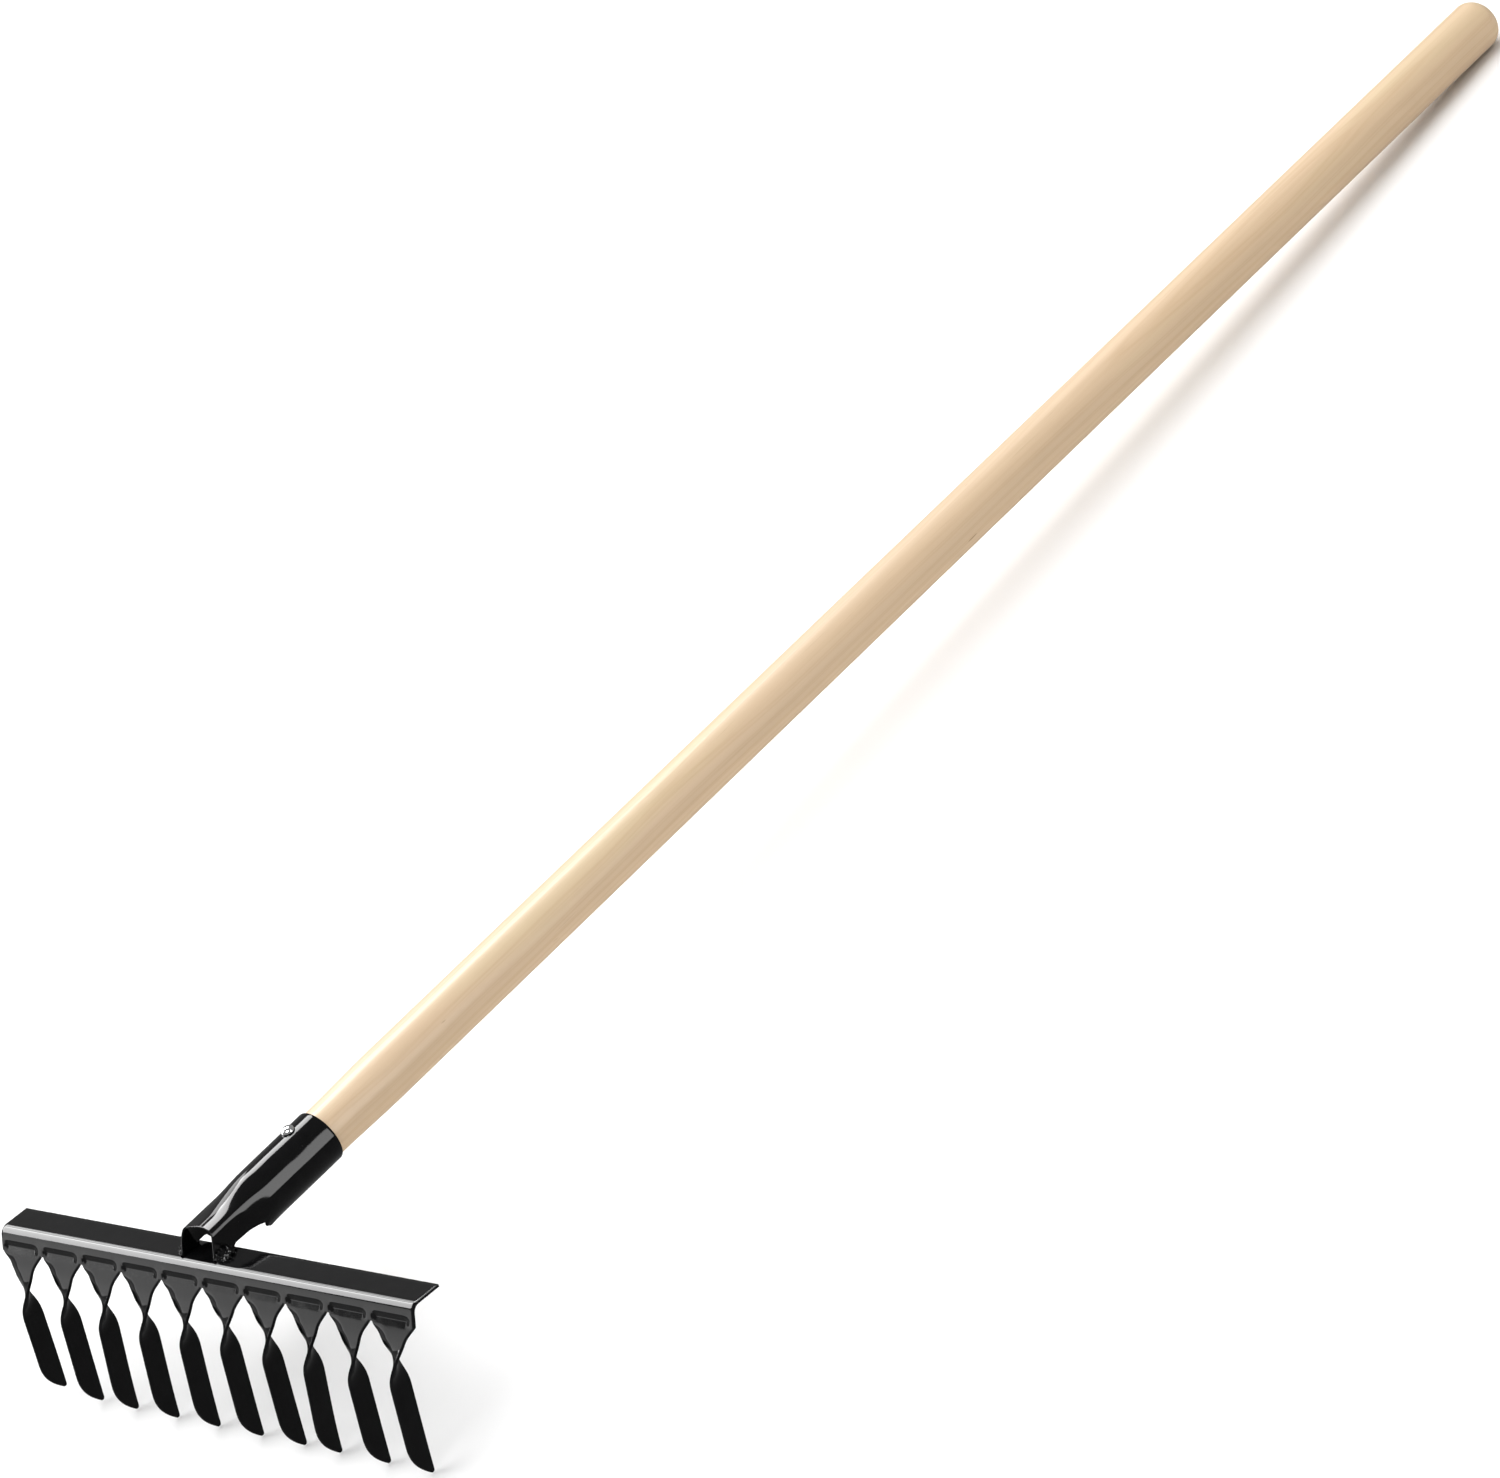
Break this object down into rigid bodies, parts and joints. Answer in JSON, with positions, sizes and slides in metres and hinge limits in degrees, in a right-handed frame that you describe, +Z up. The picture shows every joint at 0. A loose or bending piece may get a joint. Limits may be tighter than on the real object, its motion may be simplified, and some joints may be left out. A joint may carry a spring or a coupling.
{
  "type": "garden rake",
  "caption": "Garden rake with a stamped steel head of twisted flat tines, a rolled socket welded to the head, and a straight round wooden handle fixed by a nail.",
  "frame": {"origin": "on the floor, in the middle of the rake's length and of its bar, with the tine tips and the handle's free end touching the floor", "axes": "+X along the bar, +Y from the head towards the handle's free end, +Z up; the handle's axis slopes down by 3.88 degrees towards +Y"},
  "size_m": [0.3, 0.9708, 0.0859],
  "materials": {
    "black_enamel": "gloss",
    "varnished_wood": "satin",
    "nail_steel": "satin"
  },
  "bodies": {
    "root": {"tine_bar": "black_enamel", "tine_01": "black_enamel", "tine_02": "black_enamel", "tine_03": "black_enamel", "tine_04": "black_enamel", "tine_05": "black_enamel", "tine_06": "black_enamel", "tine_07": "black_enamel", "tine_08": "black_enamel", "tine_09": "black_enamel", "tine_10": "black_enamel", "socket": "black_enamel", "weld_left": "black_enamel", "weld_right": "black_enamel", "handle": "varnished_wood", "nail": "nail_steel"}
  },
  "joints": []
}
